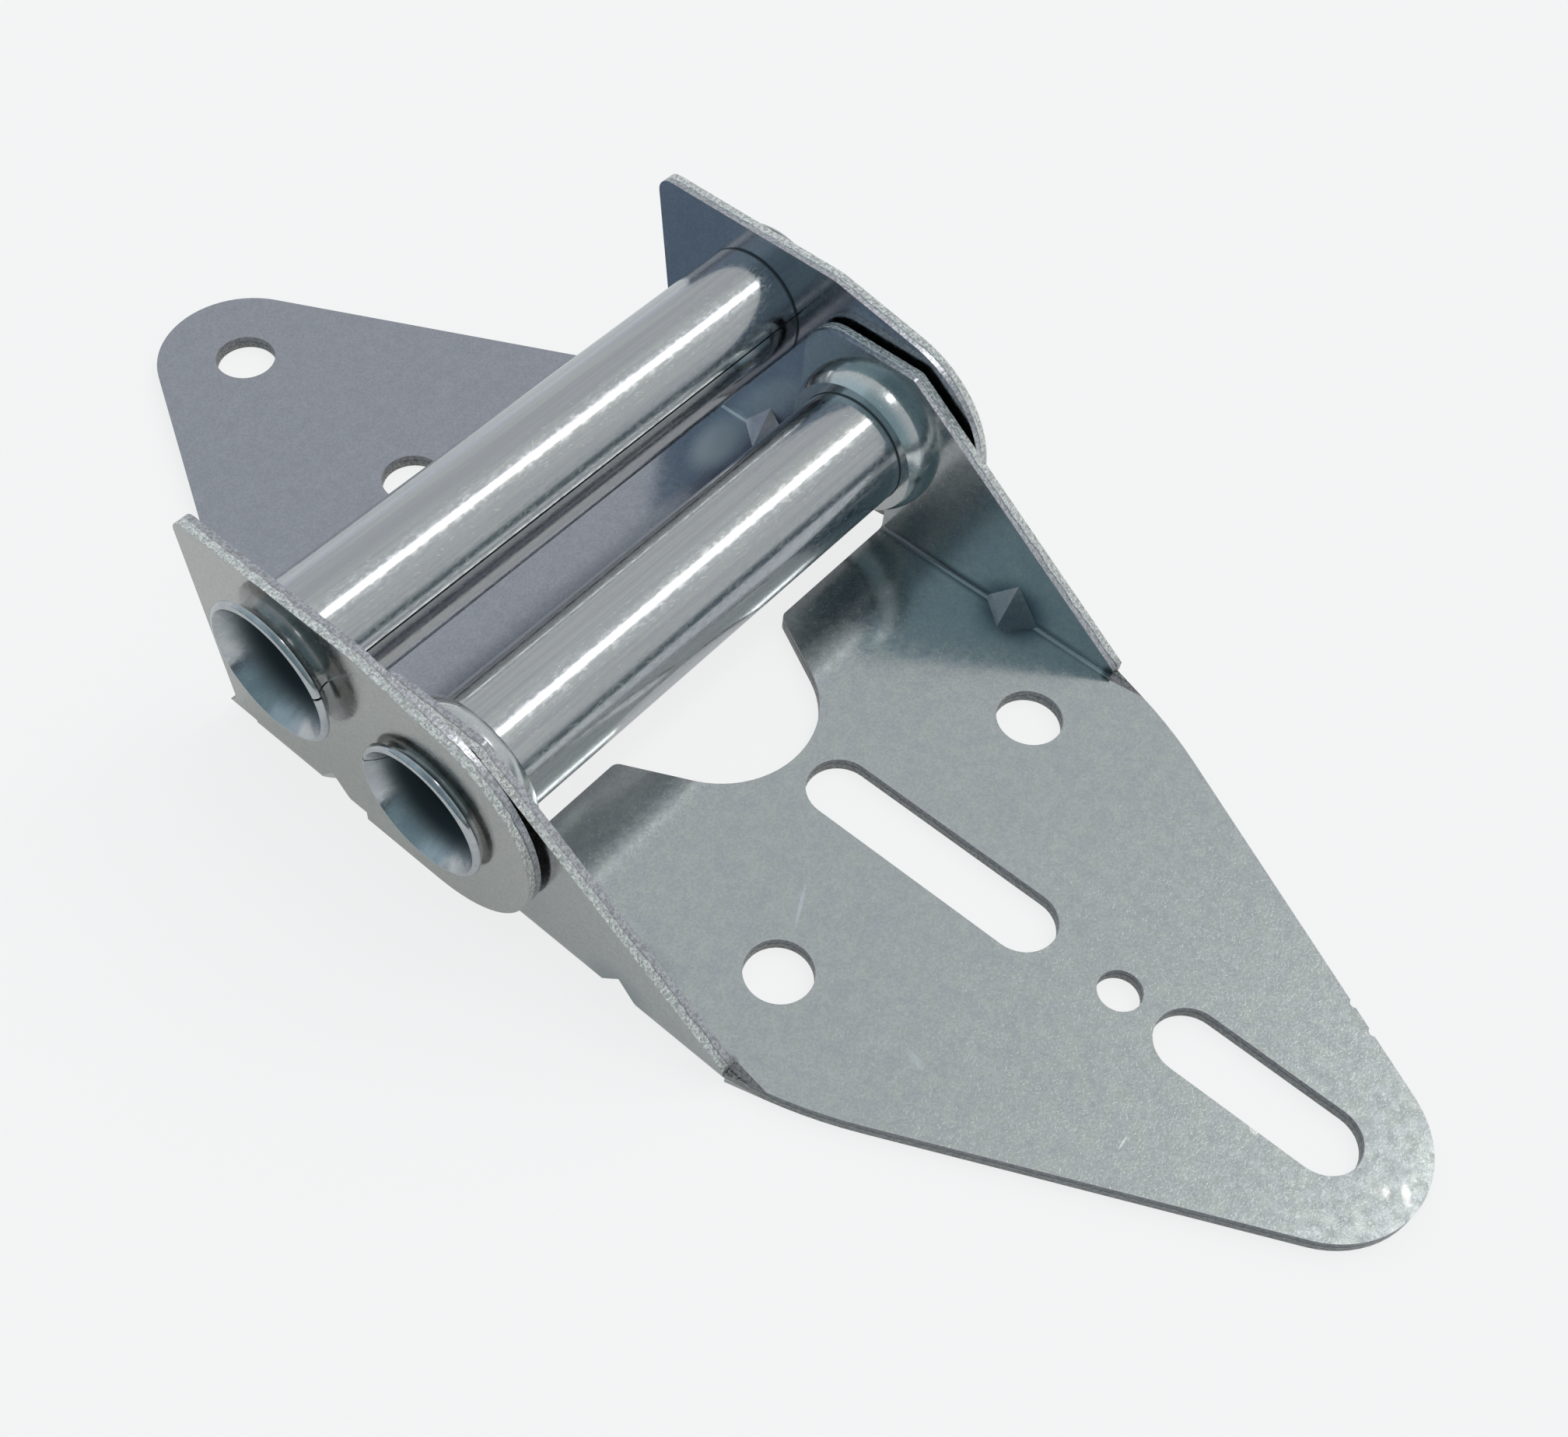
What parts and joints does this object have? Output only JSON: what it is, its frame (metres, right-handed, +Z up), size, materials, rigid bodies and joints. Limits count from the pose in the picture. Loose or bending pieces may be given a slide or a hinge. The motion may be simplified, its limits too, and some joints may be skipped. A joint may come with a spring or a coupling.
{
  "type": "garage door hinge",
  "caption": "Sheet-steel roller hinge: two tapered leaves nested ear in ear on a flared pivot tube, with a second tube for a roller stem.",
  "frame": {"origin": "middle of the pivot tube, on the axis the two leaves fold about; the leaves' flat undersides lie 16 mm below it", "axes": "+X along the pivot axis, +Y from the flange leaf towards the carrier leaf, +Z up from the flat undersides of the leaves"},
  "size_m": [0.0874, 0.1987, 0.0336],
  "materials": {
    "carrier_zinc": "bright zinc plate on pressed sheet, faintly blue, scuffed",
    "flange_zinc": "bright zinc plate on pressed sheet, mottled",
    "roller_tube_zinc": "bright zinc plate, streaked along the tube",
    "pivot_tube_zinc": "bright zinc plate, streaked along the tube"
  },
  "bodies": {
    "carrier": {"carrier_leaf": "carrier_zinc", "roller_tube": "roller_tube_zinc", "pivot_tube": "pivot_tube_zinc"},
    "flange": {"flange_leaf": "flange_zinc"}
  },
  "joints": [
    {"name": "leaf_pivot", "type": "hinge", "parent": "carrier", "child": "flange", "pos_m": [0, 0, 0], "axis": [1, 0, 0], "range_deg": [-130, 70]}
  ]
}
